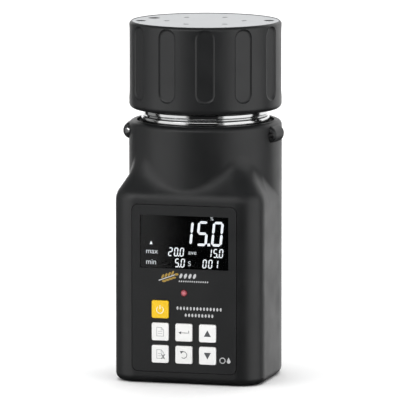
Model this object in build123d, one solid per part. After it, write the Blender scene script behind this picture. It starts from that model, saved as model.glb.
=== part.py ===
from build123d import *
import math
import os

# Grain moisture meter, in millimetres. The origin lies on the resting plane at the axis of the round
# body. +Z is up, the front panel faces -Y. Azimuths are counted from the front towards +X.

# Driving dimensions of the body
BODY_R = 38.5
FRONT_FACE = 40.5
CORNER_R = 12.5
WALL = 2.5
FRONT_WALL = 3.5
RIM_Z = 129.3
DECK_Z = 126.5
DECK_T = 3.0
SHOULDER_Z = 94.0
SHOULDER_RISE = 15.6
SHOULDER_INSET = 12.4
SHOULDER_ROUND = 9.0
RIM_ROUND = 2.8
FOOT_ROUND = 4.0
CAVITY_TOP = 91.0

# Front panel, display and keys
PANEL_HALF = 26.95
PANEL_LOW, PANEL_HIGH = 6.2, 90.2
PANEL_T = 1.6
PANEL_GAP = 0.25
WINDOW_HALF = 22.9
WINDOW_LOW, WINDOW_HIGH = 58.4, 85.1
KEY_W, KEY_H = 8.7, 8.9
KEY_PITCH_X, KEY_PITCH_Z = 12.27, 11.28
KEY_TOP_Z = 42.15
KEY_PROUD = 0.7
KEY_FLANGE = 0.5
LED_Z, LED_R = 46.3, 1.7
LED_Y = -40.9
LCD_HALF, LCD_LOW, LCD_HIGH = 24.5, 56.8, 86.8
LCD_Y, LCD_T = -38.85, 3.0
BOARD_Y, BOARD_T = -34.0, 1.6
BOARD_HALF, BOARD_LOW, BOARD_HIGH = 25.2, 10.0, 89.0
BOARD_BOSSES = ((-22.6, 13.0), (22.6, 13.0), (-22.6, 48.0), (22.6, 48.0))
BOSS_R = 2.4
DOME_H, KEY_CLEAR = 1.0, 0.6

# Measuring cell and neck
CUP_R, CUP_WALL = 26.5, 1.3
CUP_FLOOR = 70.0
CUP_LIP_R = 30.5
RIM_R = 34.6
SPIGOT_R, NUT_R, NUT_T = 30.0, 34.0, 4.0
NECK_R, NECK_BORE = 31.0, 28.0
RING_R, RING_TOP, RING_ROUND = 32.3, 131.7, 1.2
BEAD_R, BEAD_LOW, BEAD_TOP, BEAD_ROUND = 31.3, 132.0, 135.0, 1.0
NECK_TOP = 148.0
LIP_T = 1.0
THREAD_LEAD, THREAD_DEPTH, THREAD_W = 6.0, 1.15, 2.0
THREAD_LOW, MALE_TURNS, FEMALE_TURNS = 137.5, 1.5, 1.2
INSULATOR_R, ELECTRODE_R, ELECTRODE_TOP = 9.9, 6.0, 108.0
PROBE_R, PROBE_AT = 1.5, (15.0, -8.0)
SENSOR_BOARD_R, SPACER_AT = 24.0, 21.0

# Cap
CAP_R = 38.4
CAP_LOW, CAP_TOP = 135.1, 179.4
CAP_ROUND, CAP_FOOT_ROUND = 2.2, 2.8
SLEEVE_R, SLEEVE_BORE = 34.4, 32.7
SKIRT_BORE = 35.4
CAP_DECK_LOW, CAP_DECK_TOP = 174.0, 177.7
SHELF_R, SHELF_LOW, SHELF_TOP = 28.5, 150.5, 153.0
PLATE_R, PLATE_T = 37.0, 1.2
FLUTES, FLUTE_W, FLUTE_DEPTH, FLUTE_ROUND = 12, 11.2, 0.75, 2.0
FLUTE_LOW, FLUTE_HIGH = 140.3, 178.5
POCKET_TOP = 166.0
CAP_SCREW_R, CAP_SCREW, CAP_SCREW_HEAD = 19.4, 0.9, 1.4
WELLS = ((-75, 32.4, 2.7), (-103, 29.5, 3.0), (107, 32.0, 2.7))
PLUG_WALL = 0.4

# Press unit inside the cap
HUB_R, HUB_BORE, HUB_FLANGE = 12.0, 9.0, 16.0
HUB_LOW, HUB_LIP = 150.5, 2.5
STEM_R = 6.7
PRESS_R, PRESS_LOW, PRESS_T = 25.8, 140.0, 3.5
SPRING_R, SPRING_WIRE, SPRING_TURNS = 14.5, 1.6, 6
SEAT_LOW = 165.8

# Strap lugs
LUG_AZIMUTH, LUG_AT, LUG_Z = 80.5, 36.9, 123.6
LUG_R, LUG_HALF, LUG_ROUND = 4.3, 6.3, 2.0
LUG_HOLE_AT, LUG_HOLE_R = 39.1, 1.4

# Battery compartment and its door
BAY_HALF, BAY_LOW, BAY_HIGH = 24.4, 7.0, 59.4
BAY_FRONT_Y, BAY_WALL = 10.5, 1.5
DOOR_T, DOOR_GAP, DOOR_TOP_GAP = 2.3, 0.4, 0.8
HINGE_Y, HINGE_Z, HINGE_BARREL, HINGE_PIN = 36.6, 8.6, 1.5, 0.7
BARREL_HALF, EAR_OUT, DOOR_RELIEF = 6.0, 8.3, 1.4
CELL_R, CELL_LOW, CELL_TOP = 5.25, 13.4, 56.9
CELL_PITCH, CELL_Y = 11.4, 16.4
NUB_R, NUB_H = 1.9, 1.0

# Screws and bosses of the base
POSTS = ((-28.5, -30.5), (28.5, -30.5), (-29.8, 4.0), (29.8, 4.0))
POST_R, POST_TOP = 2.8, 14.0
SCREW_R, SCREW_HEAD_R, SCREW_HEAD_TOP = 1.2, 2.5, 1.3
BASE_T = 2.5
BASE_INSET, LEDGE_INSET = 5.0, 8.0
LEDGE_TOP = 5.0


def tube(outer, inner, low, high):
    """A round sleeve about the axis between two heights."""
    return disc(outer, low, high) - disc(inner, low - 1, high + 1)


def disc(radius, low, high, x=0, y=0):
    """A round plate or rod that stands at x, y between two heights."""
    return Pos(x, y, low) * Cylinder(radius, high - low, align=(Align.CENTER, Align.CENTER, Align.MIN))


def block(x0, x1, y0, y1, z0, z1):
    """A box given by its limits."""
    return Pos((x0 + x1) / 2, (y0 + y1) / 2, (z0 + z1) / 2) * Box(x1 - x0, y1 - y0, z1 - z0)


def rod_y(radius, y0, y1, x, z):
    """A round pin along Y."""
    return Pos(x, (y0 + y1) / 2, z) * Rot(90, 0, 0) * Cylinder(radius, y1 - y0)


def soft_block(x0, x1, y0, y1, z0, z1, radius):
    """A box whose four edges along Y are rounded."""
    body = block(x0, x1, y0, y1, z0, z1)
    return fillet(body.edges().filter_by(Axis.Y), radius)


def body_plan(inset):
    """Plan of the body: round behind, flat at the sides and the front, inset all round."""
    side = BODY_R - inset
    front = FRONT_FACE - inset
    corner = CORNER_R - inset
    straight = front - corner
    reach = corner * (1 - math.sqrt(0.5))
    outline = Curve() + [
        ThreePointArc((-side, 0), (0, side), (side, 0)),
        Line((side, 0), (side, -straight)),
        ThreePointArc((side, -straight), (side - reach, -front + reach), (side - corner, -front)),
        Line((side - corner, -front), (corner - side, -front)),
        ThreePointArc((corner - side, -front), (reach - side, -front + reach), (-side, -straight)),
        Line((-side, -straight), (-side, 0)),
    ]
    return make_face(outline)


def body_prism(inset, low, high):
    """The body's plan drawn up between two heights."""
    return extrude(Pos(0, 0, low) * body_plan(inset), high - low)


def body_outside():
    """Square-fronted foot that slopes through a rounded shoulder into the round upper body."""
    foot = body_prism(0, 0, SHOULDER_Z)
    slope = loft([
        Pos(0, 0, SHOULDER_Z) * body_plan(0),
        Pos(0, 0, SHOULDER_Z + SHOULDER_RISE) * body_plan(SHOULDER_INSET),
    ], ruled=True)
    hull = foot + slope
    at_shoulder = hull.edges().filter_by(lambda e: abs(e.center().Z - SHOULDER_Z) < 0.01)
    hull = fillet(at_shoulder, SHOULDER_ROUND)
    at_foot = hull.edges().filter_by(lambda e: abs(e.center().Z) < 0.01)
    hull = fillet(at_foot, FOOT_ROUND)
    barrel = disc(BODY_R, 20, RIM_Z)
    rim = barrel.edges().filter_by(lambda e: abs(e.center().Z - RIM_Z) < 0.01)
    barrel = fillet(rim, RIM_ROUND)
    return hull + barrel


def front_recess(x_half, z_low, z_high, radius):
    """The rounded pocket that the panel drops into."""
    return soft_block(-x_half, x_half, -FRONT_FACE - 1, PANEL_T - FRONT_FACE, z_low, z_high, radius)


def key_centres():
    """Name, x and z of the middle of each key."""
    rows = (("power",), ("record", "enter", "up"), ("delete", "return", "down"))
    for row, names in enumerate(rows):
        for column, name in enumerate(names):
            x = (column - 1) * KEY_PITCH_X
            yield name, x, KEY_TOP_Z - KEY_H / 2 - row * KEY_PITCH_Z


def strap_lug(side):
    """A short round bar across the side of the barrel, rounded at both ends."""
    bar = rod_y(LUG_R, -LUG_HALF, LUG_HALF, LUG_AT, LUG_Z)
    bar = fillet(bar.edges().filter_by(GeomType.CIRCLE), LUG_ROUND)
    return Rot(0, 0, side * LUG_AZIMUTH - 90) * bar


def strap_hole(side):
    """The cord hole along one lug, front to back."""
    hole = rod_y(LUG_HOLE_R, -20, 20, LUG_HOLE_AT, LUG_Z)
    return Rot(0, 0, side * LUG_AZIMUTH - 90) * hole


def body_shell():
    """The moulded case: foot, shoulder, barrel, deck, strap lugs and every opening in them."""
    shell = body_outside()
    for side in (-1, 1):
        shell += strap_lug(side)
        shell -= strap_hole(side)
    cavity = body_prism(WALL, LEDGE_TOP, CAVITY_TOP)
    cavity -= block(-BODY_R, BODY_R, -FRONT_FACE, FRONT_WALL - FRONT_FACE, 0, RIM_Z)
    shell -= cavity
    shell -= disc(BODY_R - WALL, LEDGE_TOP, DECK_Z - DECK_T)
    shell -= body_prism(LEDGE_INSET, -1, LEDGE_TOP + 0.1)
    shell -= body_prism(BASE_INSET, -1, BASE_T + 0.1)
    shell -= disc(RIM_R, DECK_Z, RIM_Z + 1)
    shell -= disc(SPIGOT_R + 0.1, DECK_Z - DECK_T - 1, DECK_Z + 1)
    shell -= front_recess(PANEL_HALF + PANEL_GAP, PANEL_LOW - PANEL_GAP, PANEL_HIGH + PANEL_GAP, 3.2)
    behind = PANEL_T - FRONT_FACE - 1, FRONT_WALL - FRONT_FACE + 1
    shell -= block(-LCD_HALF - 0.2, LCD_HALF + 0.2, *behind, LCD_LOW - 0.2, LCD_HIGH + 0.2)
    shell -= rod_y(LED_R + 0.2, *behind, 0, LED_Z)
    reach_x = KEY_W / 2 + KEY_FLANGE + 0.3
    reach_z = KEY_H / 2 + KEY_FLANGE + 0.3
    for _, x, z in key_centres():
        shell -= block(x - reach_x, x + reach_x, *behind, z - reach_z, z + reach_z)
    for x, y in POSTS:
        shell += disc(POST_R, BASE_T + 0.1, POST_TOP, x, y)
        shell -= disc(SCREW_R, BASE_T, POST_TOP - 1, x, y)
    for x, z in BOARD_BOSSES:
        shell += rod_y(BOSS_R, FRONT_WALL - FRONT_FACE - 0.5, BOARD_Y, x, z)
        shell -= rod_y(SCREW_R - 0.2, FRONT_WALL - FRONT_FACE, BOARD_Y + 1, x, z)
    shell -= block(-BAY_HALF, BAY_HALF, 20, 45, BAY_LOW, BAY_HIGH)
    for side in (-1, 1):
        ear = block(BARREL_HALF + 0.3, EAR_OUT, HINGE_Y - 1.4, HINGE_Y + 1.2, LEDGE_TOP, HINGE_Z + 1.4)
        ear -= Pos(0, HINGE_Y, HINGE_Z) * Rot(0, 90, 0) * Cylinder(HINGE_PIN, 40)
        shell += ear if side > 0 else mirror(ear, Plane.YZ)
    return shell


def base_cover():
    """The flat plate under the foot, held by four screws."""
    plate = body_prism(BASE_INSET + 0.2, 0, BASE_T)
    for x, y in POSTS:
        plate -= disc(SCREW_R + 0.2, -1, BASE_T + 1, x, y)
        plate -= disc(SCREW_HEAD_R + 0.1, -1, SCREW_HEAD_TOP, x, y)
    return plate


def base_screws():
    """Four self-tapping screws with sunk pan heads."""
    screws = []
    for x, y in POSTS:
        head = disc(SCREW_HEAD_R, SCREW_HEAD_TOP - 1, SCREW_HEAD_TOP, x, y)
        screws.append(head + disc(SCREW_R, SCREW_HEAD_TOP, POST_TOP - 2, x, y))
    return Compound(screws)


def front_panel():
    """The flat overlay plate with its display window, its key holes and its lamp hole."""
    plate = soft_block(-PANEL_HALF, PANEL_HALF, -FRONT_FACE, PANEL_T - FRONT_FACE, PANEL_LOW, PANEL_HIGH, 3)
    ends = -FRONT_FACE - 1, 2 - FRONT_FACE
    plate -= block(-WINDOW_HALF, WINDOW_HALF, *ends, WINDOW_LOW, WINDOW_HIGH)
    plate -= rod_y(LED_R + 0.1, *ends, 0, LED_Z)
    half_x = KEY_W / 2 + PANEL_GAP
    half_z = KEY_H / 2 + PANEL_GAP
    for _, x, z in key_centres():
        plate -= soft_block(x - half_x, x + half_x, *ends, z - half_z, z + half_z, 1)
    return plate


def display_window():
    """The clear pane over the display, flush with the panel."""
    return block(-WINDOW_HALF, WINDOW_HALF, -FRONT_FACE, PANEL_T - FRONT_FACE, WINDOW_LOW, WINDOW_HIGH)


def lcd_module():
    """The liquid crystal cell in the window of the case."""
    return block(-LCD_HALF, LCD_HALF, LCD_Y, LCD_Y + LCD_T, LCD_LOW, LCD_HIGH)


def backlight():
    """The light guide between the liquid crystal cell and the main board."""
    return block(-LCD_HALF, LCD_HALF, LCD_Y + LCD_T, BOARD_Y, LCD_LOW, LCD_HIGH)


def led_indicator():
    """The round indicator lamp: a lens in the panel on a wider foot at the board."""
    lens = rod_y(LED_R, LED_Y, BOARD_Y, 0, LED_Z)
    return fillet(lens.edges().sort_by(Axis.Y)[0], 0.5)


def key(x, z):
    """One push key: a cap through the panel, a flange behind it and a stem above its dome."""
    front = -FRONT_FACE - KEY_PROUD
    back = PANEL_T - FRONT_FACE + 0.05
    w, h = KEY_W / 2, KEY_H / 2
    cap = soft_block(x - w, x + w, front, back + 1, z - h, z + h, 0.9)
    cap = fillet(cap.faces().sort_by(Axis.Y)[0].edges(), 0.25)
    rim_w, rim_h = w + KEY_FLANGE, h + KEY_FLANGE
    flange = block(x - rim_w, x + rim_w, back, back + 1.2, z - rim_h, z + rim_h)
    stem = rod_y(1.5, back + 1, BOARD_Y - DOME_H - KEY_CLEAR, x, z)
    return cap + flange + stem


def switch_domes():
    """Seven snap domes on the main board, one under each key."""
    domes = []
    for _, x, z in key_centres():
        dome = Cone(2.6, 1.4, DOME_H, align=(Align.CENTER, Align.CENTER, Align.MIN))
        domes.append(Pos(x, BOARD_Y, z) * Rot(90, 0, 0) * dome)
    return Compound(domes)


def main_board():
    """The circuit board behind the front wall."""
    board = block(-BOARD_HALF, BOARD_HALF, BOARD_Y, BOARD_Y + BOARD_T, BOARD_LOW, BOARD_HIGH)
    for x, z in BOARD_BOSSES:
        board -= rod_y(SCREW_R, BOARD_Y - 1, BOARD_Y + BOARD_T + 1, x, z)
    return board


def board_screws():
    """Four small screws that hold the main board to its bosses."""
    screws = []
    for x, z in BOARD_BOSSES:
        head = rod_y(2, BOARD_Y + BOARD_T, BOARD_Y + BOARD_T + 1.2, x, z)
        screws.append(head + rod_y(SCREW_R - 0.2, BOARD_Y - 2.2, BOARD_Y + BOARD_T, x, z))
    return Compound(screws)


def neck_collar():
    """The plated neck: a spigot through the deck, two rounded beads and a threaded band."""
    spigot = tube(SPIGOT_R, NECK_BORE, DECK_Z - DECK_T - NUT_T, DECK_Z + 0.1)
    ring = tube(RING_R, NECK_BORE, DECK_Z, RING_TOP)
    ring = fillet(ring.edges().group_by(Axis.Z)[-1].sort_by(SortBy.LENGTH)[-1], RING_ROUND)
    groove = tube(NECK_R - 0.7, NECK_BORE, RING_TOP - 0.1, BEAD_LOW + 0.1)
    bead = tube(BEAD_R, NECK_BORE, BEAD_LOW, BEAD_TOP)
    ends = bead.edges().group_by(Axis.Z)
    bead = fillet([end.sort_by(SortBy.LENGTH)[-1] for end in (ends[0], ends[-1])], BEAD_ROUND)
    band = tube(NECK_R, NECK_BORE, BEAD_TOP - 0.3, NECK_TOP)
    return spigot + ring + groove + bead + band + thread(NECK_R, 1, THREAD_LOW, MALE_TURNS)


def thread(radius, outward, low, turns):
    """A single coarse right-hand ridge on a round wall, outward or inward."""
    foot = radius - outward * 0.2
    crest = radius + outward * THREAD_DEPTH
    half_foot = THREAD_W / 2 + 0.3
    half_crest = THREAD_W / 2 - 0.3
    path = Helix(pitch=THREAD_LEAD, height=THREAD_LEAD * turns, radius=radius)
    profile = Plane.XZ * make_face(Polyline(
        (foot, -half_foot), (crest, -half_crest), (crest, half_crest), (foot, half_foot), close=True))
    return Pos(0, 0, low) * sweep(profile, path=path, is_frenet=True)


def collar_nut():
    """The flat ring nut that clamps the neck to the underside of the deck."""
    return tube(NUT_R, SPIGOT_R, DECK_Z - DECK_T - NUT_T, DECK_Z - DECK_T)


def neck_seal():
    """The soft ring in the channel between the neck and the rim of the case."""
    return tube(RIM_R - 0.1, RING_R, DECK_Z, DECK_Z + 1.6)


def cell_cup():
    """The measuring cell: a deep cup hung in the neck by its lip."""
    cup = disc(CUP_R + CUP_WALL, CUP_FLOOR, NECK_TOP) + disc(CUP_LIP_R, NECK_TOP, NECK_TOP + LIP_T)
    cup -= disc(CUP_R, CUP_FLOOR + CUP_WALL, NECK_TOP + LIP_T + 1)
    cup -= disc(INSULATOR_R, CUP_FLOOR - 1, CUP_FLOOR + CUP_WALL + 1)
    return cup - disc(PROBE_R, CUP_FLOOR - 1, CUP_FLOOR + CUP_WALL + 1, *PROBE_AT)


def cell_insulator():
    """The flanged bush that keeps the inner electrode off the cup."""
    bush = disc(INSULATOR_R + 2, CUP_FLOOR - 1.5, CUP_FLOOR)
    bush += disc(INSULATOR_R, CUP_FLOOR - 0.1, CUP_FLOOR + 2.5)
    return bush - disc(ELECTRODE_R, CUP_FLOOR - 3, CUP_FLOOR + 4)


def centre_electrode():
    """The round-topped inner electrode of the cell."""
    rod = disc(ELECTRODE_R, CUP_FLOOR - 4, ELECTRODE_TOP)
    return fillet(rod.edges().group_by(Axis.Z)[-1], 3)


def temperature_probe():
    """The thin probe that reads the temperature of the grain."""
    rod = disc(PROBE_R, CUP_FLOOR - 4, CUP_FLOOR + 14, *PROBE_AT)
    return fillet(rod.edges().group_by(Axis.Z)[-1], 1)


def sensor_board():
    """The round board under the cell that drives the electrodes."""
    return disc(SENSOR_BOARD_R, CUP_FLOOR - 5.6, CUP_FLOOR - 4)


def board_spacers():
    """Three pillars between the cell's floor and the round board."""
    pillars = []
    for azimuth in (90, 210, 330):
        x = SPACER_AT * math.cos(math.radians(azimuth))
        y = SPACER_AT * math.sin(math.radians(azimuth))
        pillars.append(disc(2.2, CUP_FLOOR - 4, CUP_FLOOR, x, y))
    return Compound(pillars)


def battery_bay():
    """The open-backed box that the batteries stand in."""
    outer = block(-BAY_HALF - BAY_WALL, BAY_HALF + BAY_WALL, BAY_FRONT_Y - BAY_WALL, BODY_R,
                  BAY_LOW - BAY_WALL, BAY_HIGH + BAY_WALL)
    outer = outer & disc(BODY_R - WALL, 0, RIM_Z)
    outer -= block(-BAY_HALF, BAY_HALF, BAY_FRONT_Y, BODY_R, BAY_LOW, BAY_HIGH)
    ears = block(-EAR_OUT - 0.3, EAR_OUT + 0.3, HINGE_Y - 2, BODY_R, BAY_LOW - 4, BAY_LOW)
    return outer - ears


def battery_centres():
    """X of each battery and whether its button points up."""
    for index in range(4):
        yield (index - 1.5) * CELL_PITCH, index % 2 == 0


def battery(x, button_up):
    """One cylindrical cell with its button."""
    can = disc(CELL_R, CELL_LOW, CELL_TOP, x, CELL_Y)
    can = fillet(can.edges(), 0.5)
    button = disc(NUB_R, CELL_TOP - 0.1, CELL_TOP + NUB_H, x, CELL_Y)
    one = can + button
    if button_up:
        return one
    middle = Plane((x, CELL_Y, (CELL_LOW + CELL_TOP + NUB_H) / 2), z_dir=(0, 0, 1))
    return mirror(one, middle)


def battery_contacts():
    """Conical end springs and plates with dimples, two linked pairs at each end of the bay."""
    contacts = []
    cell_high = CELL_TOP + NUB_H
    for x, button_up in battery_centres():
        floor_plate = block(x - 4.5, x + 4.5, CELL_Y - 4, CELL_Y + 4, BAY_LOW, BAY_LOW + 0.5)
        roof_plate = block(x - 4.5, x + 4.5, CELL_Y - 4, CELL_Y + 4, BAY_HIGH - 0.5, BAY_HIGH)
        foot = Pos(x, CELL_Y, BAY_LOW + 0.4)
        spring = Cone(4, 2, CELL_LOW - BAY_LOW - 0.4, align=(Align.CENTER, Align.CENTER, Align.MIN))
        contacts.append(floor_plate + foot * spring)
        roof = Pos(x, CELL_Y, cell_high)
        dimple = Cone(1.5, 3, BAY_HIGH - 0.4 - cell_high, align=(Align.CENTER, Align.CENTER, Align.MIN))
        contacts.append(roof_plate + roof * dimple)
    return Compound(contacts)


def battery_door():
    """The curved door over the bay, with a hinge barrel at its relieved lower edge and a finger notch."""
    low = HINGE_Z
    high = BAY_HIGH - DOOR_TOP_GAP
    reach = BAY_HALF - DOOR_GAP
    skin = tube(BODY_R, BODY_R - DOOR_T, low, high)
    skin = skin & block(-reach, reach, 20, BODY_R + 1, low, high)
    for side in (-1, 1):
        notch = block(BARREL_HALF, EAR_OUT + 0.4, 30, BODY_R + 2, low - 1, HINGE_Z + 2)
        skin -= notch if side > 0 else mirror(notch, Plane.YZ)
    barrel = Pos(0, HINGE_Y, HINGE_Z) * Rot(0, 90, 0) * Cylinder(HINGE_BARREL, 2 * BARREL_HALF)
    web = block(-BARREL_HALF, BARREL_HALF, HINGE_Y - 0.4, HINGE_Y + DOOR_RELIEF, HINGE_Z, HINGE_Z + 3)
    skin -= block(-reach, reach, HINGE_Y + DOOR_RELIEF, BODY_R + 1, low - 1, HINGE_Z + 3)
    skin = skin + barrel + web
    skin -= Pos(0, HINGE_Y, HINGE_Z) * Rot(0, 90, 0) * Cylinder(HINGE_PIN + 0.1, 40)
    grip = Pos(0, BODY_R + 6.8, high - 7) * Rot(0, 90, 0) * Cylinder(8, 16)
    return skin - grip


def hinge_pin():
    """The pin that the battery door turns on."""
    return Pos(0, HINGE_Y, HINGE_Z) * Rot(0, 90, 0) * Cylinder(HINGE_PIN, 2 * EAR_OUT)


def cap_shell():
    """The fluted screw cap: a skirt, a deck and an inner sleeve with the thread."""
    outside = disc(CAP_R, CAP_LOW, CAP_TOP)
    outside = fillet(outside.edges().group_by(Axis.Z)[-1], CAP_ROUND)
    outside = fillet(outside.edges().group_by(Axis.Z)[0], CAP_FOOT_ROUND)
    for index in range(FLUTES):
        cutter = soft_block(-FLUTE_W / 2, FLUTE_W / 2, -CAP_R - 2, FLUTE_DEPTH - CAP_R,
                            FLUTE_LOW, FLUTE_HIGH, FLUTE_W / 2 - 0.3)
        cutter = fillet(cutter.faces().sort_by(Axis.Y)[-1].edges(), FLUTE_ROUND)
        outside -= Rot(0, 0, (index + 0.5) * 360 / FLUTES) * cutter
    outside -= disc(PLATE_R + 0.15, CAP_DECK_TOP, CAP_TOP + 1)
    outside -= tube(SKIRT_BORE, SLEEVE_R, CAP_LOW - 1, POCKET_TOP)
    outside -= disc(SLEEVE_R + 0.1, CAP_LOW - 1, CAP_LOW + 1.4)
    outside -= disc(SLEEVE_BORE, CAP_LOW - 1, SHELF_LOW)
    outside -= disc(SHELF_R, SHELF_LOW - 1, SHELF_TOP + 1)
    outside -= disc(SLEEVE_BORE, SHELF_TOP, CAP_DECK_LOW)
    for x, y in cap_screw_centres():
        outside -= disc(CAP_SCREW, CAP_DECK_LOW - 1, CAP_DECK_TOP + 1, x, y)
    return outside + thread(SLEEVE_BORE, -1, THREAD_LOW + THREAD_LEAD / 2, FEMALE_TURNS)


def cap_screw_centres():
    """The six screw places in the cap, in line with every second flute."""
    for index in range(6):
        azimuth = math.radians(45 + 60 * index)
        yield CAP_SCREW_R * math.sin(azimuth), -CAP_SCREW_R * math.cos(azimuth)


def cap_top_plate():
    """The pale disc set into the top of the cap."""
    plate = disc(PLATE_R, CAP_DECK_TOP, CAP_DECK_TOP + PLATE_T)
    for x, y in cap_screw_centres():
        plate -= disc(CAP_SCREW + 0.15, CAP_DECK_TOP - 1, CAP_TOP + 1, x, y)
        plate -= disc(CAP_SCREW_HEAD + 0.1, CAP_DECK_TOP + 0.4, CAP_TOP + 1, x, y)
    for azimuth, radius, well in WELLS:
        x, y = well_centre(azimuth, radius)
        plate -= disc(well, CAP_DECK_TOP - 1, CAP_TOP + 1, x, y)
    return plate


def well_centre(azimuth, radius):
    """X and y of a well in the top plate."""
    return radius * math.sin(math.radians(azimuth)), -radius * math.cos(math.radians(azimuth))


def well_plugs():
    """Three dark cups that line the wells of the top plate."""
    plugs = []
    for azimuth, radius, well in WELLS:
        x, y = well_centre(azimuth, radius)
        cup = disc(well - 0.05, CAP_DECK_TOP, CAP_DECK_TOP + PLATE_T - 0.05, x, y)
        plugs.append(cup - disc(well - PLUG_WALL, CAP_DECK_TOP + 0.3, CAP_TOP + 1, x, y))
    return Compound(plugs)


def cap_screws():
    """Six small screws through the plate and the deck into the retainer."""
    screws = []
    for x, y in cap_screw_centres():
        head = disc(CAP_SCREW_HEAD, CAP_DECK_TOP + 0.4, CAP_DECK_TOP + 1.0, x, y)
        screws.append(head + disc(CAP_SCREW, CAP_DECK_LOW - 4, CAP_DECK_TOP + 0.5, x, y))
    return Compound(screws)


def retainer_ring():
    """The ring under the deck that carries the press unit and lets it turn."""
    spacer = tube(24, HUB_FLANGE + 0.4, CAP_DECK_LOW - 6, CAP_DECK_LOW)
    lip = tube(HUB_FLANGE + 0.5, HUB_R + 0.6, CAP_DECK_LOW - 6, CAP_DECK_LOW - 4.6)
    ring = spacer + lip
    for x, y in cap_screw_centres():
        ring -= disc(CAP_SCREW, CAP_DECK_LOW - 4, CAP_DECK_LOW + 1, x, y)
    return ring


def cap_seal():
    """The flat gasket under the cap's inner shelf."""
    return tube(31.4, SHELF_R + 0.1, NECK_TOP + LIP_T + 0.2, SHELF_LOW)


def press_hub():
    """The swivelling guide tube of the press plate, flanged at the top and lipped at the foot."""
    top = CAP_DECK_LOW - 0.3
    hub = disc(HUB_FLANGE, top - 3.9, top) + disc(HUB_R, HUB_LOW, top)
    hub -= disc(HUB_BORE, HUB_LOW + HUB_LIP, top - 1.7)
    return hub - disc(STEM_R + 0.3, HUB_LOW - 1, HUB_LOW + HUB_LIP + 1)


def spring_seat():
    """The washer pressed on the guide tube that the spring pushes against."""
    return tube(HUB_R + 5, HUB_R, SEAT_LOW, SEAT_LOW + 1.6)


def press_spring():
    """The coil spring between the seat and the press plate."""
    low = PRESS_LOW + PRESS_T + SPRING_WIRE / 2
    rise = SEAT_LOW - SPRING_WIRE / 2 - low
    path = Helix(pitch=rise / SPRING_TURNS, height=rise, radius=SPRING_R)
    section = Plane(origin=path @ 0, z_dir=path % 0) * Circle(SPRING_WIRE / 2)
    return Pos(0, 0, low) * sweep(section, path=path, is_frenet=True)


def press_plate():
    """The disc that levels and presses the grain, with a headed stem in the guide tube."""
    plate = disc(PRESS_R, PRESS_LOW, PRESS_LOW + PRESS_T)
    plate = fillet(plate.edges(), 0.6)
    head_low = HUB_LOW + HUB_LIP + 0.2
    return plate + disc(STEM_R, PRESS_LOW, head_low + 1) + disc(HUB_BORE - 0.3, head_low, head_low + 3.8)


def build_all():
    """Every node's name and solid."""
    nodes = {}
    for make in (body_shell, base_cover, base_screws, front_panel, display_window, lcd_module, backlight,
                 led_indicator, switch_domes, main_board, board_screws, neck_collar, collar_nut, neck_seal,
                 cell_cup, cell_insulator, centre_electrode, temperature_probe, sensor_board, board_spacers,
                 battery_bay, battery_contacts, battery_door, hinge_pin, cap_shell, cap_top_plate,
                 well_plugs, cap_screws, retainer_ring, cap_seal, press_hub, spring_seat, press_spring,
                 press_plate):
        nodes[make.__name__] = make()
    for name, x, z in key_centres():
        nodes["key_" + name] = key(x, z)
    for index, (x, button_up) in enumerate(battery_centres()):
        nodes["battery_" + str(index + 1)] = battery(x, button_up)
    return nodes


os.makedirs("parts", exist_ok=True)
for name, solid in build_all().items():
    solid.label = name
    export_step(solid, "parts/" + name + ".step")
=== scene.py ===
import math
import bmesh
import bpy
from mathutils import Matrix, Vector


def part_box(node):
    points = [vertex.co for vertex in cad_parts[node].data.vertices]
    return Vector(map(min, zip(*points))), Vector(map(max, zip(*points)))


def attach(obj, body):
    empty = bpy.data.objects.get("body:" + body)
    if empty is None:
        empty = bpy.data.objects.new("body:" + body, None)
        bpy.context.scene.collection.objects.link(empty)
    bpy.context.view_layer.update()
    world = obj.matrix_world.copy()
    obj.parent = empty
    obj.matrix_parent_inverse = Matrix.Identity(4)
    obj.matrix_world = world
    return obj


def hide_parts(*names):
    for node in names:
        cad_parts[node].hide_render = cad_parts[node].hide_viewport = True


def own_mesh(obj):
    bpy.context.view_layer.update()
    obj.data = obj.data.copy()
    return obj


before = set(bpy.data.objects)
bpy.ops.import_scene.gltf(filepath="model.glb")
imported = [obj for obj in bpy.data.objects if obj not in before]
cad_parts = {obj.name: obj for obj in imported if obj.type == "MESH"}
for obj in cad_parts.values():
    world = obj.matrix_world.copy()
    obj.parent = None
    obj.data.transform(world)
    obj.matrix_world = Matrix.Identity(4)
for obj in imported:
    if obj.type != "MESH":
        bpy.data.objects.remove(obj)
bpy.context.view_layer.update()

# The case. One shell moulded in near-black ABS: a square-fronted foot, a rounded shoulder and a round barrel
# with a cord lug on each side. The mould is spark-eroded, so the skin is evenly matte. The deck that carries
# the neck is part of the same moulding.

MM = 0.001


def linear(code):
    """An sRGB hex colour turned to linear red, green and blue, with full alpha."""
    channels = [int(code[i:i + 2], 16) / 255 for i in (0, 2, 4)]
    curve = [c / 12.92 if c <= 0.04045 else ((c + 0.055) / 1.055) ** 2.4 for c in channels]
    return (*curve, 1.0)


def add_node(tree, kind, settings, inputs):
    """A node with its settings, and each input either set or linked from another node's output."""
    node = tree.nodes.new(kind)
    for name, value in settings.items():
        setattr(node, name, value)
    for name, value in inputs.items():
        if isinstance(value, bpy.types.NodeSocket):
            tree.links.new(value, node.inputs[name])
        else:
            node.inputs[name].default_value = value
    return node


def blank_material(name):
    """A material with an empty node tree, and that tree."""
    material = bpy.data.materials.new(name)
    material.use_nodes = True
    material.node_tree.nodes.clear()
    return material, material.node_tree


def close_material(tree, shader):
    """Join the shader to the material's output."""
    add_node(tree, "ShaderNodeOutputMaterial", {}, {"Surface": shader.outputs[0]})


def dress(material, *names):
    """Give CAD nodes this material."""
    for name in names:
        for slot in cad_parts[name].material_slots:
            slot.material = material


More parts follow.
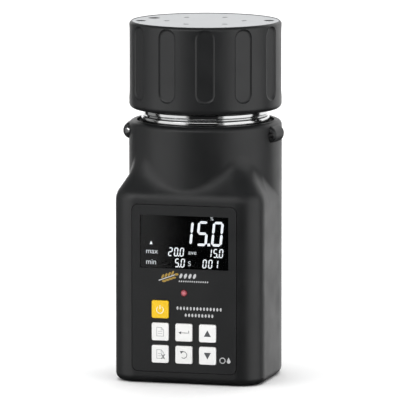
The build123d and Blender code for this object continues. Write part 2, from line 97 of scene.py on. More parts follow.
def spark_eroded_abs(name, dark, light, roughness, grain_mm):
    """ABS from a spark-eroded mould: near-black, broad soft sheen, a fine even grain and faint cloudy
    patches where hands and the mould's flow have changed the gloss."""
    material, tree = blank_material(name)
    place = add_node(tree, "ShaderNodeTexCoord", {}, {})
    cloud = add_node(tree, "ShaderNodeTexNoise", {},
                     {"Vector": place.outputs["Object"], "Scale": 1 / (14 * MM), "Detail": 3.0})
    grain = add_node(tree, "ShaderNodeTexNoise", {},
                     {"Vector": place.outputs["Object"], "Scale": 1 / (grain_mm * MM), "Detail": 2.0})
    colour = add_node(tree, "ShaderNodeMix", {"data_type": "RGBA"},
                      {0: cloud.outputs["Fac"], 6: linear(dark), 7: linear(light)})
    gloss = add_node(tree, "ShaderNodeMapRange", {},
                     {"Value": cloud.outputs["Fac"], "From Min": 0.3, "From Max": 0.7,
                      "To Min": roughness - 0.04, "To Max": roughness + 0.05})
    bump = add_node(tree, "ShaderNodeBump", {},
                    {"Height": grain.outputs["Fac"], "Distance": 0.03 * MM, "Strength": 0.35})
    shader = add_node(tree, "ShaderNodeBsdfPrincipled", {},
                      {"Base Color": colour.outputs[2], "Roughness": gloss.outputs[0], "IOR": 1.54,
                       "Normal": bump.outputs[0]})
    close_material(tree, shader)
    return material


# The grain of the tool is about 0.1 mm, too fine to show, so it is drawn 0.5 mm wide.
case_abs = spark_eroded_abs("case_abs_spark_eroded", "151617", "1b1c1d", 0.42, 0.5)
dress(case_abs, "body_shell", "base_cover", "battery_door", "battery_bay")


# The fillet where the shoulder runs into the barrel. It is part of the case moulding: plastic that the
# mould maker's ball cutter left in the valley, widest at the two front corners. A thin skin draws it.

BARREL_R = 38.5
FRONT_FACE = 40.5
CORNER_R = 12.5
SHOULDER_Z = 94.0
SHOULDER_RISE, SHOULDER_INSET, SHOULDER_ROUND = 15.6, 12.4, 9.0
VALLEY_BLEND, LEAST_BLEND = 5.0, 0.01
SKIN_LOW, SKIN_STEP, SKIN_ROWS = SHOULDER_Z - 4, 0.4, 68
SKIN_REACH = 100
SKIN_SUNK, SKIN_LEAST = 0.008, 0.004


def made_piece(mesh, name, material, body):
    """The object of a finished mesh, in its material, riding on its body."""
    data = bpy.data.meshes.new(name)
    mesh.to_mesh(data)
    mesh.free()
    piece = bpy.data.objects.new(name, data)
    bpy.context.collection.objects.link(piece)
    data.materials.append(material)
    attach(piece, body)
    return piece


def shoulder_inset(z):
    """How far the outline has drawn in at a height, with the convex round of the shoulder."""
    lean = math.atan2(SHOULDER_INSET, SHOULDER_RISE)
    reach = SHOULDER_ROUND * math.tan(lean / 2)
    if z <= SHOULDER_Z - reach:
        return 0.0
    if z >= SHOULDER_Z + reach * math.cos(lean):
        return (z - SHOULDER_Z) * math.tan(lean)
    up = z - (SHOULDER_Z - reach)
    return SHOULDER_ROUND - math.sqrt(SHOULDER_ROUND ** 2 - up ** 2)


def outline_radius(azimuth, inset):
    """Distance from the axis to the foot's outline, drawn in by an inset, in a direction from the front."""
    side = BARREL_R - inset
    front = FRONT_FACE - inset
    round_r = max(CORNER_R - inset, 0.0)
    centre = Vector((BARREL_R - CORNER_R, FRONT_FACE - CORNER_R))
    ray = Vector((abs(math.sin(azimuth)), math.cos(azimuth)))
    if ray.y <= 0:
        return side
    if ray.x * front / ray.y <= centre.x:
        return front / ray.y
    if ray.y * side / ray.x <= centre.y:
        return side / ray.x
    along = ray.dot(centre)
    return along + math.sqrt(max(along ** 2 - centre.length_squared + round_r ** 2, 0.0))


def filled_radius(azimuth, z):
    """The rounded surface's radius at a direction and height, and how much it fills the valley."""
    foot = outline_radius(azimuth, 0.0)
    hull = foot - shoulder_inset(z)
    blend = max(min(VALLEY_BLEND, foot - BARREL_R), LEAST_BLEND)
    near = max(blend - abs(hull - BARREL_R), 0.0) / blend
    rounded = max(hull, BARREL_R) + near ** 2 * blend / 4
    return rounded, rounded - max(outline_radius(azimuth, shoulder_inset(z)), BARREL_R)


def shoulder_fillet():
    """A fine skin over the valley, only where the fillet stands above the plain surfaces."""
    mesh = bmesh.new()
    azimuths = [math.radians(a) for a in range(-SKIN_REACH, SKIN_REACH + 1)]
    rows = []
    for step in range(SKIN_ROWS):
        z = SKIN_LOW + SKIN_STEP * step
        row = []
        for azimuth in azimuths:
            radius, fill = filled_radius(azimuth, z)
            radius -= SKIN_SUNK
            x, y = radius * math.sin(azimuth), -radius * math.cos(azimuth)
            row.append((mesh.verts.new((x * MM, y * MM, z * MM)), fill))
        rows.append(row)
    for low, high in zip(rows, rows[1:]):
        for a, b, c, d in zip(low, low[1:], high[1:], high):
            if max(corner[1] for corner in (a, b, c, d)) > SKIN_LEAST:
                face = mesh.faces.new([corner[0] for corner in (a, b, c, d)])
                face.smooth = True
    loose = [point for point in mesh.verts if not point.link_faces]
    bmesh.ops.delete(mesh, geom=loose, context="VERTS")
    made_piece(mesh, "shoulder_fillet", case_abs, "root")


shoulder_fillet()


# Screws. Small zinc-plated steel screws: four under the foot, four on the main board and six through the
# disc of the cap. The spring seat and the door's hinge pin are the same plated steel.

# A wave texture at scale 1 has one line in each of these lengths.
LINE_AT_ONE = math.tau / 20


def turned_metal(name, colour, roughness, line_mm, depth):
    """Metal with the fine rings that a turning tool or a polishing wheel leaves, all along the height."""
    material, tree = blank_material(name)
    place = add_node(tree, "ShaderNodeTexCoord", {}, {})
    rings = add_node(tree, "ShaderNodeTexWave", {"bands_direction": "Z", "wave_type": "BANDS"},
                     {"Vector": place.outputs["Object"], "Scale": LINE_AT_ONE / (line_mm * MM),
                      "Distortion": 1.5, "Detail": 2.0})
    smear = add_node(tree, "ShaderNodeTexNoise", {},
                     {"Vector": place.outputs["Object"], "Scale": 1 / (5 * MM), "Detail": 3.0})
    gloss = add_node(tree, "ShaderNodeMapRange", {},
                     {"Value": smear.outputs["Fac"], "From Min": 0.3, "From Max": 0.7,
                      "To Min": roughness * 0.8, "To Max": roughness * 1.3})
    bump = add_node(tree, "ShaderNodeBump", {},
                    {"Height": rings.outputs["Fac"], "Distance": depth * MM, "Strength": 0.4})
    shader = add_node(tree, "ShaderNodeBsdfPrincipled", {},
                      {"Base Color": linear(colour), "Metallic": 1.0, "Roughness": gloss.outputs[0],
                       "Normal": bump.outputs[0]})
    close_material(tree, shader)
    return material


dress(turned_metal("zinc_plated_steel", "b9bab8", 0.32, 0.4, 0.01),
      "base_screws", "board_screws", "cap_screws", "spring_seat", "hinge_pin")


# The batteries and their contacts. Four round cells with a printed jacket on a steel can stand side by
# side behind the door, between nickel-plated end springs and dimpled plates.


def printed_jacket(name, side, edge):
    """A printed and lacquered film: deep blue with a copper band at the button end, glossy and smooth."""
    material, tree = blank_material(name)
    place = add_node(tree, "ShaderNodeTexCoord", {}, {})
    split = add_node(tree, "ShaderNodeSeparateXYZ", {}, {"Vector": place.outputs["Object"]})
    band = add_node(tree, "ShaderNodeMath", {"operation": side}, {0: split.outputs["Z"], 1: edge})
    speckle = add_node(tree, "ShaderNodeTexNoise", {},
                       {"Vector": place.outputs["Object"], "Scale": 1 / (2 * MM), "Detail": 2.0})
    blue = add_node(tree, "ShaderNodeMix", {"data_type": "RGBA"},
                    {0: speckle.outputs["Fac"], 6: linear("15243f"), 7: linear("1c2f52")})
    colour = add_node(tree, "ShaderNodeMix", {"data_type": "RGBA"},
                      {0: band.outputs[0], 6: blue.outputs[2], 7: linear("b0723c")})
    shader = add_node(tree, "ShaderNodeBsdfPrincipled", {},
                      {"Base Color": colour.outputs[2], "Roughness": 0.28, "IOR": 1.5,
                       "Coat Weight": 0.5, "Coat Roughness": 0.1})
    close_material(tree, shader)
    return material


COPPER_BAND = 12 * MM
foot_end, head_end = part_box("battery_1")[0][2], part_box("battery_1")[1][2]
dress(printed_jacket("jacket_film_button_up", "GREATER_THAN", head_end - COPPER_BAND),
      "battery_1", "battery_3")
dress(printed_jacket("jacket_film_button_down", "LESS_THAN", foot_end + COPPER_BAND),
      "battery_2", "battery_4")
dress(turned_metal("nickel_plated_spring_steel", "c9c4b8", 0.25, 0.3, 0.01), "battery_contacts")


# The neck. A brass collar, turned and bright plated, screwed down through the deck with a flat aluminium
# nut, and ringed by a soft black seal that fills the channel inside the case's rim.

dress(turned_metal("bright_plated_brass", "dcdddd", 0.12, 0.25, 0.002), "neck_collar")
dress(turned_metal("turned_aluminium", "c3c4c5", 0.34, 0.3, 0.01),
      "collar_nut", "retainer_ring", "press_plate")


def moulded_rubber():
    """Moulded nitrile rubber: deep black, dull, with a faint bloom."""
    material, tree = blank_material("moulded_nitrile_rubber")
    place = add_node(tree, "ShaderNodeTexCoord", {}, {})
    bloom = add_node(tree, "ShaderNodeTexNoise", {},
                     {"Vector": place.outputs["Object"], "Scale": 1 / (3 * MM), "Detail": 4.0})
    colour = add_node(tree, "ShaderNodeMix", {"data_type": "RGBA"},
                      {0: bloom.outputs["Fac"], 6: linear("0d0d0e"), 7: linear("18181a")})
    shader = add_node(tree, "ShaderNodeBsdfPrincipled", {},
                      {"Base Color": colour.outputs[2], "Roughness": 0.7, "IOR": 1.52})
    close_material(tree, shader)
    return material


dress(moulded_rubber(), "neck_seal", "cap_seal", "well_plugs")


# The measuring cell. A deep-drawn stainless cup hangs in the neck by its lip, with a steel electrode on an
# acetal bush at the middle and a thin temperature probe beside it. A round board hangs below on pillars.

dress(turned_metal("polished_stainless", "cfd0d0", 0.2, 0.5, 0.006),
      "cell_cup", "centre_electrode", "temperature_probe")


def machined_acetal():
    """Acetal cut on a lathe: milky off-white, waxy, with soft light carried a little way inside."""
    material, tree = blank_material("machined_acetal")
    place = add_node(tree, "ShaderNodeTexCoord", {}, {})
    flow = add_node(tree, "ShaderNodeTexNoise", {},
                    {"Vector": place.outputs["Object"], "Scale": 1 / (6 * MM), "Detail": 2.0})
    colour = add_node(tree, "ShaderNodeMix", {"data_type": "RGBA"},
                      {0: flow.outputs["Fac"], 6: linear("d9d7cf"), 7: linear("e6e4dd")})
    shader = add_node(tree, "ShaderNodeBsdfPrincipled", {},
                      {"Base Color": colour.outputs[2], "Roughness": 0.4, "IOR": 1.48,
                       "Subsurface Weight": 0.1, "Subsurface Scale": 1 * MM})
    close_material(tree, shader)
    return material


dress(machined_acetal(), "cell_insulator", "board_spacers", "press_hub")


def solder_resist():
    """Glass laminate under green solder resist: glossy lacquer over a faint woven ground."""
    material, tree = blank_material("solder_resist_laminate")
    place = add_node(tree, "ShaderNodeTexCoord", {}, {})
    weave = add_node(tree, "ShaderNodeTexVoronoi", {"distance": "CHEBYCHEV"},
                     {"Vector": place.outputs["Object"], "Scale": 1 / (0.8 * MM), "Randomness": 0.1})
    colour = add_node(tree, "ShaderNodeMix", {"data_type": "RGBA"},
                      {0: weave.outputs["Distance"], 6: linear("14502c"), 7: linear("1b6b3b")})
    shader = add_node(tree, "ShaderNodeBsdfPrincipled", {},
                      {"Base Color": colour.outputs[2], "Roughness": 0.3, "IOR": 1.52})
    close_material(tree, shader)
    return material


dress(solder_resist(), "main_board", "sensor_board")
dress(turned_metal("stamped_stainless", "cccccb", 0.22, 0.2, 0.004), "switch_domes")


# The display. A reverse liquid crystal cell, black with lit figures, sits in the case on an opal light
# guide, behind a clear acrylic pane that is flush with the panel.


def plain_gloss(name, dark, light, roughness, shine):
    """Smooth hard plastic with a very faint mottle."""
    material, tree = blank_material(name)
    place = add_node(tree, "ShaderNodeTexCoord", {}, {})
    mottle = add_node(tree, "ShaderNodeTexNoise", {},
                      {"Vector": place.outputs["Object"], "Scale": 1 / (4 * MM), "Detail": 2.0})
    colour = add_node(tree, "ShaderNodeMix", {"data_type": "RGBA"},
                      {0: mottle.outputs["Fac"], 6: linear(dark), 7: linear(light)})
    shader = add_node(tree, "ShaderNodeBsdfPrincipled", {},
                      {"Base Color": colour.outputs[2], "Roughness": roughness, "IOR": 1.5,
                       "Specular IOR Level": shine})
    close_material(tree, shader)
    return material


dress(plain_gloss("reverse_crystal_cell", "020203", "040405", 0.4, 0.0), "lcd_module")
dress(plain_gloss("opal_light_guide", "dfe2e6", "e9ebee", 0.4, 0.5), "backlight")


def clear_acrylic():
    """Cast acrylic: clear and very smooth, so it mirrors the lights softly over the black behind it."""
    material, tree = blank_material("clear_cast_acrylic")
    place = add_node(tree, "ShaderNodeTexCoord", {}, {})
    wipe = add_node(tree, "ShaderNodeTexNoise", {},
                    {"Vector": place.outputs["Object"], "Scale": 1 / (9 * MM), "Detail": 3.0})
    gloss = add_node(tree, "ShaderNodeMapRange", {},
                     {"Value": wipe.outputs["Fac"], "From Min": 0.3, "From Max": 0.7,
                      "To Min": 0.04, "To Max": 0.06})
    shader = add_node(tree, "ShaderNodeBsdfPrincipled", {},
                      {"Base Color": linear("f4f6f7"), "Roughness": gloss.outputs[0], "IOR": 1.49,
                       "Transmission Weight": 1.0})
    close_material(tree, shader)
    return material


dress(clear_acrylic(), "display_window")


def lit_figures(name, strength):
    """The lit part of the crystal: cool white light that is a little uneven from edge to edge."""
    material, tree = blank_material(name)
    place = add_node(tree, "ShaderNodeTexCoord", {}, {})
    uneven = add_node(tree, "ShaderNodeTexNoise", {},
                      {"Vector": place.outputs["Object"], "Scale": 1 / (10 * MM), "Detail": 1.0})
    colour = add_node(tree, "ShaderNodeMix", {"data_type": "RGBA"},
                      {0: uneven.outputs["Fac"], 6: linear("e8edf2"), 7: linear("ffffff")})
    shader = add_node(tree, "ShaderNodeBsdfPrincipled", {},
                      {"Base Color": linear("d8dce0"), "Roughness": 0.4, "IOR": 1.5,
                       "Emission Color": colour.outputs[2], "Emission Strength": strength})
    close_material(tree, shader)
    return material


def flat_piece(name, shapes, front, thickness, material, body):
    """Thin flat shapes that face -Y: each shape is a closed outline of x, z in millimetres."""
    mesh = bmesh.new()
    for outline in shapes:
        near = [mesh.verts.new((x * MM, front * MM, z * MM)) for x, z in outline]
        far = [mesh.verts.new((x * MM, (front + thickness) * MM, z * MM)) for x, z in outline]
        mesh.faces.new(near)
        mesh.faces.new(far[::-1])
        for a, b, c, d in zip(near, near[1:] + near[:1], far[1:] + far[:1], far):
            mesh.faces.new((a, d, c, b))
    bmesh.ops.recalc_face_normals(mesh, faces=mesh.faces)
    made_piece(mesh, name, material, body)


# Which bars of a seven-bar figure are lit, and how far the figures lean.
SEGMENTS = {"0": "abcdef", "1": "bc", "2": "abged", "5": "afgcd"}
SLANT = 0.1


def segment_bar(start, end, width):
    """One segment: a bar with pointed ends from one place to another."""
    start, end = Vector(start), Vector(end)
    along = (end - start).normalized()
    across = Vector((-along.y, along.x)) * width / 2
    tip = along * width / 2
    gap = along * width * 0.08
    start, end = start + gap, end - gap
    return [start, start + tip + across, end - tip + across, end, end - tip - across, start + tip - across]


def figure(character, left, foot, width, height, bar):
    """The slanted segments of one figure."""
    w, h = width - bar, height - bar
    places = {
        "a": ((0, h), (w, h)), "b": ((w, h), (w, h / 2)), "c": ((w, h / 2), (w, 0)),
        "d": ((0, 0), (w, 0)), "e": ((0, h / 2), (0, 0)), "f": ((0, h), (0, h / 2)),
        "g": ((0, h / 2), (w, h / 2)),
    }
    shapes = []
    for letter in SEGMENTS[character]:
        points = segment_bar(*places[letter], bar)
        shapes.append([(left + bar / 2 + p.x + SLANT * p.y, foot + bar / 2 + p.y) for p in points])
    return shapes


def reading(text, left, foot, width, height, bar, pitch):
    """A row of figures; a full stop is a small square between two of them."""
    shapes = []
    x = left
    for character in text:
        if character == ".":
            dot = bar * 1.1
            at = x - (pitch - width) / 2 - dot / 2
            shapes.append([(at, foot), (at + dot, foot), (at + dot, foot + dot), (at, foot + dot)])
        else:
            shapes += figure(character, x, foot, width, height, bar)
            x += pitch
    return shapes


# How thick a printed or lit film is, and how far its face stands off the plate that carries it.
FILM_T, FILM_LIFT = 0.02, 0.03
FIGURE_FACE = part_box("lcd_module")[0][1] / MM - FILM_LIFT
crystal_light = lit_figures("lit_crystal_figures", 1.0)
legend_light = lit_figures("lit_crystal_legends", 0.55)

# Width, height, bar and pitch of the large and the small figures, then the readings and a small pointer.
LARGE = (5.6, 12.5, 1.25, 7.75)
SMALL = (2.15, 4.5, 0.55, 2.95)
figures = reading("15.0", -1.9, 70.2, *LARGE)
for text, left, foot in (("20.0", -8.6, 64.5), ("15.0", 11.7, 64.5), ("5.0", -5.2, 59.0), ("001", 9.1, 59.0)):
    figures += reading(text, left, foot, *SMALL)
figures.append([(-18.1, 70.2), (-16.6, 70.2), (-17.35, 72.0)])
flat_piece("lit_readings", figures, FIGURE_FACE, FILM_T, crystal_light, "root")

# The letters are drawn a little bolder than the plain font.
LETTER_SPREAD = 0.02


def legend(name, text, left, foot, size):
    """A short plain legend in the crystal, with its letter size in millimetres."""
    curve = bpy.data.curves.new(name, "FONT")
    curve.body = text
    curve.size = size * MM
    curve.extrude = FILM_T / 2 * MM
    curve.offset = LETTER_SPREAD * MM
    piece = bpy.data.objects.new(name, curve)
    bpy.context.collection.objects.link(piece)
    place = Matrix.Translation((left * MM, FIGURE_FACE * MM, foot * MM))
    piece.matrix_world = place @ Matrix.Rotation(math.pi / 2, 4, "X")
    curve.materials.append(legend_light)
    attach(piece, "root")


for name, text, left, foot, size in (
        ("legend_max", "max", -20.1, 65.6, 3.7), ("legend_min", "min", -20.1, 60.2, 3.7),
        ("legend_average", "ave", 1.9, 65.7, 3.2), ("legend_sample", "S", 1.7, 59.9, 3.5),
        ("legend_percent", "%", 13.3, 83.3, 2.4)):
    legend(name, text, left, foot, size)


# The front panel. A satin plate of the same black plastic lies glued in a shallow recess, so a fine dark
# line shows all round it. Its marks are printed ink: an ear of grain, rows of kernels, a ring and a drop.

dress(spark_eroded_abs("panel_abs_satin", "191a1b", "1e1f20", 0.36, 0.35), "front_panel")
PRINT_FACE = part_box("front_panel")[0][1] / MM - FILM_LIFT


def printed_ink(name, colour):
    """Screen-printed ink: opaque and flat, with the small mottle of the screen."""
    material, tree = blank_material(name)
    place = add_node(tree, "ShaderNodeTexCoord", {}, {})
    mottle = add_node(tree, "ShaderNodeTexNoise", {},
                      {"Vector": place.outputs["Object"], "Scale": 1 / (0.4 * MM), "Detail": 1.0})
    gloss = add_node(tree, "ShaderNodeMapRange", {},
                     {"Value": mottle.outputs["Fac"], "From Min": 0.3, "From Max": 0.7,
                      "To Min": 0.45, "To Max": 0.6})
    shader = add_node(tree, "ShaderNodeBsdfPrincipled", {},
                      {"Base Color": linear(colour), "Roughness": gloss.outputs[0], "IOR": 1.5})
    close_material(tree, shader)
    return material


def oval(x, z, wide, tall, lean=0.0, steps=16):
    """A leaning oval outline."""
    points = []
    for step in range(steps):
        turn = math.tau * step / steps
        u = wide / 2 * math.cos(turn)
        v = tall / 2 * math.sin(turn)
        points.append((x + u + lean * v, z + v))
    return points


def stroke(path, width, closed=False):
    """A line of even width drawn along a path, as one quad for each run; short paths lap at their bends."""
    shapes = []
    points = [Vector(p) for p in path]
    ends = points[1:] + points[:1] if closed else points[1:]
    lap = width * 0.3 if len(points) < 8 else 0.0
    for a, b in zip(points, ends):
        along = (b - a).normalized() * lap
        across = Vector((-(b - a).y, (b - a).x)).normalized() * width / 2
        corners = (a - along + across, b + along + across, b + along - across, a - along - across)
        shapes.append([tuple(c) for c in corners])
    return shapes


def arc(x, z, radius, start, end, steps=20):
    """Points along a round arc, in degrees."""
    points = []
    for step in range(steps + 1):
        turn = math.radians(start + (end - start) * step / steps)
        points.append((x + radius * math.cos(turn), z + radius * math.sin(turn)))
    return points


def drop(x, z, radius):
    """A water drop, round below and pointed above."""
    points = arc(x, z, radius, -215, 35, 18)
    return points + [(x, z + radius * 2.3)]


white_ink = printed_ink("white_screen_ink", "c9cacb")
gold_ink = printed_ink("gold_screen_ink", "a98a3c")

# The ear leans to the right: four pairs of grains and one at the tip, with a stem drawn over them.
ear = []
for n in range(4):
    x, z = -11.3 + 1.7 * n, 53.0 + 0.62 * n
    ear += [oval(x + 0.3, z + 1.35, 1.2, 2.2, 0.4), oval(x + 1.0, z - 0.95, 2.2, 1.1, 0.2)]
ear.append(oval(-3.9, 55.6, 2.2, 1.2, 0.3))
flat_piece("mark_ear", ear, PRINT_FACE, FILM_T, gold_ink, "root")
stem = stroke([(-13.0, 52.3), (-4.9, 55.3)], 0.45)
flat_piece("mark_stem", stem, PRINT_FACE - FILM_T / 2, FILM_T, white_ink, "root")

# Beside the ear four large kernels over a fine row, above the keys two more rows, and below them a ring
# and a drop.
kernels = [oval(-1.6 + 2.35 * n, 54.9, 1.5, 2.5, 0.3) for n in range(4)]
kernels += [oval(-2.4 + 1.12 * n, 52.2, 0.62, 0.95, 0.3, 10) for n in range(14)]
kernels += [oval(-3.4 + 1.72 * n, 38.6, 1.0, 1.75) for n in range(14)]
kernels += [oval(0.9 + 1.72 * n, 35.2, 1.0, 1.75) for n in range(9)]
kernels += stroke(arc(19.9, 13.0, 1.35, 0, 360, 18), 0.45) + [drop(23.1, 12.6, 0.95)]
flat_piece("mark_kernels", kernels, PRINT_FACE, FILM_T, white_ink, "root")


# The lamp. A round red-tinted polycarbonate lens, moulded in one piece and pressed through a hole in the
# panel. The lamp behind it is off.


def tinted_lens():
    """Tinted polycarbonate, soft red under a smooth skin, with a painted highlight: pale in the middle, deep
    red at the rim.
    """
    material, tree = blank_material("tinted_lens_painted_highlight")
    low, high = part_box("led_indicator")
    middle = ((low[0] + high[0]) / 2, low[1], (low[2] + high[2]) / 2)
    place = add_node(tree, "ShaderNodeTexCoord", {}, {})
    out = add_node(tree, "ShaderNodeVectorMath", {"operation": "DISTANCE"},
                   {0: place.outputs["Object"], 1: middle})
    # Painted highlight: the colour runs from pale pink at the middle of the lens to deep red at its rim.
    depth = add_node(tree, "ShaderNodeMapRange", {},
                     {"Value": out.outputs["Value"], "From Min": 0.3 * MM, "From Max": 1.7 * MM})
    colour = add_node(tree, "ShaderNodeMix", {"data_type": "RGBA"},
                      {0: depth.outputs[0], 6: linear("dc7e8a"), 7: linear("6a1822")})
    shader = add_node(tree, "ShaderNodeBsdfPrincipled", {},
                      {"Base Color": colour.outputs[2], "Roughness": 0.25, "IOR": 1.58,
                       "Subsurface Weight": 0.3, "Subsurface Scale": 1 * MM})
    close_material(tree, shader)
    return material


dress(tinted_lens(), "led_indicator")


# The keys. Seven square caps moulded in white and amber ABS, each with its sign printed on the face.
# They stand a little proud of the panel and press snap domes on the board.


def satin_key(name, dark, light):
    """ABS from a polished mould, lightly worn by fingers: satin, a shade uneven."""
    material, tree = blank_material(name)
    place = add_node(tree, "ShaderNodeTexCoord", {}, {})
    touch = add_node(tree, "ShaderNodeTexNoise", {},
                     {"Vector": place.outputs["Object"], "Scale": 1 / (5 * MM), "Detail": 3.0})
    colour = add_node(tree, "ShaderNodeMix", {"data_type": "RGBA"},
                      {0: touch.outputs["Fac"], 6: linear(dark), 7: linear(light)})
    gloss = add_node(tree, "ShaderNodeMapRange", {},
                     {"Value": touch.outputs["Fac"], "From Min": 0.3, "From Max": 0.7,
                      "To Min": 0.36, "To Max": 0.5})
    shader = add_node(tree, "ShaderNodeBsdfPrincipled", {},
                      {"Base Color": colour.outputs[2], "Roughness": gloss.outputs[0], "IOR": 1.54})
    close_material(tree, shader)
    return material


white_key = satin_key("white_abs_key", "fafaf8", "fefefd")
amber_key = satin_key("amber_abs_key", "fcc800", "ffd205")
grey_ink = printed_ink("grey_key_ink", "55575a")
pale_ink = printed_ink("pale_key_ink", "b4b6b8")
cream_ink = printed_ink("cream_key_ink", "fff6c8")
dress(amber_key, "key_power")
dress(white_key, "key_record", "key_enter", "key_up", "key_delete", "key_return", "key_down")


def page(x, z):
    """A sheet with a turned corner and two lines."""
    outline = [(x - 1.7, z + 2.2), (x + 0.6, z + 2.2), (x + 1.8, z + 1.0),
               (x + 1.8, z - 2.2), (x - 1.7, z - 2.2)]
    shapes = stroke(outline, 0.26, closed=True)
    shapes += stroke([(x + 0.6, z + 2.2), (x + 0.6, z + 1.0), (x + 1.8, z + 1.0)], 0.24)
    for row in (0.2, -0.9):
        shapes += stroke([(x - 1.0, z + row), (x + 1.1, z + row)], 0.22)
    return shapes


def power_sign(x, z):
    """A broken ring with a bar in the gap."""
    return stroke(arc(x, z - 0.2, 1.75, 125, 415, 20), 0.5) + stroke([(x, z + 0.3), (x, z + 2.1)], 0.5)


def enter_sign(x, z):
    """An arrow to the left with its tail turned up."""
    tail = stroke([(x + 2.6, z + 1.0), (x + 2.6, z - 0.1), (x - 1.6, z - 0.1)], 0.26)
    return tail + [[(x - 2.7, z - 0.1), (x - 1.3, z - 0.85), (x - 1.3, z + 0.65)]]


def cross_sign(x, z):
    """A small leaning cross at the lower right of the page."""
    x, z = x + 1.6, z - 1.2
    arms = stroke([(x - 0.9, z - 1.1), (x + 0.9, z + 1.1)], 0.34)
    return arms + stroke([(x - 0.8, z + 1.1), (x + 0.8, z - 1.1)], 0.34)


def turn_sign(x, z):
    """A round arrow turning back."""
    ring = stroke(arc(x, z, 1.65, -130, 120, 20), 0.34)
    return ring + [[(x - 1.9, z + 1.9), (x - 0.2, z + 1.95), (x - 1.25, z + 0.55)]]


def up_sign(x, z):
    """A filled triangle that points up."""
    return [[(x - 1.8, z - 1.6), (x + 1.8, z - 1.6), (x, z + 1.7)]]


def down_sign(x, z):
    """A filled triangle that points down."""
    return [[(x - 1.8, z + 1.6), (x, z - 1.7), (x + 1.8, z + 1.6)]]


KEY_INK_T, KEY_INK_LIFT = 0.015, 0.02


def key_sign(name, make, material, kind="_sign"):
    """The sign of one key, printed at the middle of its face."""
    low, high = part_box(name)
    x = (low[0] + high[0]) / 2 / MM
    z = (low[2] + high[2]) / 2 / MM
    face = low[1] / MM - KEY_INK_LIFT
    flat_piece(name + kind, make(x, z), face, KEY_INK_T, material, name)


key_sign("key_power", power_sign, cream_ink)
key_sign("key_record", page, pale_ink)
key_sign("key_enter", enter_sign, grey_ink)
key_sign("key_up", up_sign, grey_ink)
key_sign("key_delete", page, pale_ink)
key_sign("key_delete", cross_sign, grey_ink, "_cross")
key_sign("key_return", turn_sign, grey_ink)
key_sign("key_down", down_sign, grey_ink)


# The cap. A fluted screw cap in the same black plastic as the case, a little smoother from handling, with
# a pale grey disc set into its top and held by six small screws.

dress(spark_eroded_abs("cap_abs_handled", "191a1b", "1f2021", 0.4, 0.5), "cap_shell")
dress(spark_eroded_abs("disc_abs_grey", "a3a5a7", "adafb1", 0.45, 0.6), "cap_top_plate")


# The press unit. An acetal guide tube swivels in the cap and carries a coil spring of drawn wire, which
# pushes the aluminium press plate down on the grain.

spring_wire = turned_metal("drawn_spring_wire", "a9aaab", 0.28, 0.3, 0.006)
WIRE_R = 0.8
# Turns from the foot, and how much of the height the wire has climbed there.
COIL_RISE = ((0, 0.0), (1, 0.08), (5, 0.92), (6, 1.0))
COIL_STEPS, WIRE_SIDES = 40, 10


def coil_spring():
    """Round wire in six turns, the first and the last closed."""
    low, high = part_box("press_spring")
    radius = high[0] - WIRE_R * MM
    foot, head = low[2] + WIRE_R * MM, high[2] - WIRE_R * MM
    mesh = bmesh.new()
    rings = []
    for (start, share), (end, next_share) in zip(COIL_RISE, COIL_RISE[1:]):
        steps = (end - start) * COIL_STEPS
        for step in range(steps):
            part = step / steps
            turn = (start + (end - start) * part) * 2 * math.pi
            z = foot + (head - foot) * (share + (next_share - share) * part)
            ring = []
            for side in range(WIRE_SIDES):
                angle = side * 2 * math.pi / WIRE_SIDES
                out = radius + WIRE_R * MM * math.cos(angle)
                up = z + WIRE_R * MM * math.sin(angle)
                ring.append(mesh.verts.new((out * math.cos(turn), out * math.sin(turn), up)))
            rings.append(ring)
    for ring, following in zip(rings, rings[1:]):
        for side in range(WIRE_SIDES):
            after = (side + 1) % WIRE_SIDES
            face = mesh.faces.new((ring[side], ring[after], following[after], following[side]))
            face.smooth = True
    mesh.faces.new(rings[0][::-1])
    mesh.faces.new(rings[-1])
    bmesh.ops.recalc_face_normals(mesh, faces=mesh.faces)
    piece = made_piece(mesh, "coil_spring", spring_wire, "press_unit")
    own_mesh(piece)
    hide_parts("press_spring")


coil_spring()


# The studio: a pale floor without an edge in view, tall soft lights at the left and the right with fainter
# wide ones behind them that soften their edges, a low strip above the front, a wide light behind that edges
# the dark plastic, and one overhead that keeps the floor bright.


def direction(azimuth, height):
    """A unit vector towards an azimuth from the front and a height above level."""
    flat = math.cos(height)
    return Vector((math.sin(azimuth) * flat, -math.cos(azimuth) * flat, math.sin(height)))


def soft_light(name, azimuth, distance, centre, wide, tall, radiance, lean=0):
    """A flat soft light around the axis: degrees from the front, metres, and degrees that it leans over."""
    lamp = bpy.data.lights.new(name, "AREA")
    lamp.shape = "RECTANGLE"
    lamp.size = wide
    lamp.size_y = tall
    lamp.energy = radiance * math.pi * wide * tall
    light = bpy.data.objects.new(name, lamp)
    bpy.context.collection.objects.link(light)
    back = direction(math.radians(azimuth), 0)
    light.location = back * distance + Vector((0, 0, centre))
    facing = direction(math.radians(azimuth), math.radians(lean))
    light.rotation_euler = facing.to_track_quat("Z", "Y").to_euler()
    return light


soft_light("left_soft_light", -49, 1.3, 0.25, 1.4, 1.7, 0.7)
soft_light("left_spill", -47.9, 1.35, 0.25, 1.7, 1.7, 0.3)
soft_light("left_side_light", -104, 1.6, 0.4, 0.8, 1.7, 0.3)
soft_light("right_soft_light", 80, 1.3, 0.25, 1.6, 1.7, 1.05)
soft_light("right_spill", 74, 1.35, 0.25, 1.9, 1.7, 0.15)
soft_light("high_front_light", -5, 1.6, 1.0, 2.8, 0.35, 2.6, 28)
soft_light("back_soft_light", 180, 2.6, 0.9, 5.0, 3.4, 1.15)
top = soft_light("top_soft_light", 195, 0.7, 2.4, 4.2, 4.2, 2.1)
top.rotation_euler = (0, 0, 0)
top.visible_glossy = False

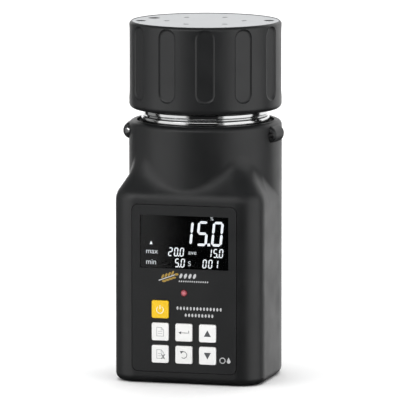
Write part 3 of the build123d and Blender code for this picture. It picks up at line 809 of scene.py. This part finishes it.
FLOOR_HALF = 30
mesh = bmesh.new()
bmesh.ops.create_grid(mesh, x_segments=8, y_segments=8, size=FLOOR_HALF)
floor_data = bpy.data.meshes.new("floor")
mesh.to_mesh(floor_data)
mesh.free()
floor = bpy.data.objects.new("floor", floor_data)
bpy.context.collection.objects.link(floor)
floor.visible_glossy = False
floor.visible_transmission = False
floor_paint, floor_tree = blank_material("pale_floor_paint")
floor_place = add_node(floor_tree, "ShaderNodeTexCoord", {}, {})
floor_noise = add_node(floor_tree, "ShaderNodeTexNoise", {},
                       {"Vector": floor_place.outputs["Object"], "Scale": 3.0, "Detail": 1.0})
floor_tint = add_node(floor_tree, "ShaderNodeMix", {"data_type": "RGBA"},
                      {0: floor_noise.outputs["Fac"], 6: linear("fafafa"), 7: linear("fdfdfd")})
floor_shader = add_node(floor_tree, "ShaderNodeBsdfPrincipled", {},
                        {"Base Color": floor_tint.outputs[2], "Roughness": 0.9})
close_material(floor_tree, floor_shader)
floor_data.materials.append(floor_paint)

world = bpy.data.worlds.new("studio")
bpy.context.scene.world = world
world.use_nodes = True
world.node_tree.nodes.clear()
sky = add_node(world.node_tree, "ShaderNodeBackground", {}, {"Color": linear("b8babc"), "Strength": 0.03})
add_node(world.node_tree, "ShaderNodeOutputWorld", {}, {"Surface": sky.outputs[0]})

# The camera: a long lens far off, a little to the right and above, aimed at the middle of the meter.
AIM = Vector((0, 0, 88.0 * MM))
VIEW_AZIMUTH, VIEW_HEIGHT = math.radians(15.36), math.radians(7.56)
VIEW_DISTANCE = 3.0275
FRAME_SHIFT = -0.01375
camera_data = bpy.data.cameras.new("camera")
camera_data.sensor_width = 36
camera_data.lens = 540
camera_data.shift_x = FRAME_SHIFT
camera_data.clip_end = 100
camera = bpy.data.objects.new("camera", camera_data)
bpy.context.collection.objects.link(camera)
back = direction(VIEW_AZIMUTH, VIEW_HEIGHT)
camera.location = AIM + back * VIEW_DISTANCE
camera.rotation_euler = back.to_track_quat("Z", "Y").to_euler()
bpy.context.scene.camera = camera
bpy.context.scene.view_settings.view_transform = "Standard"
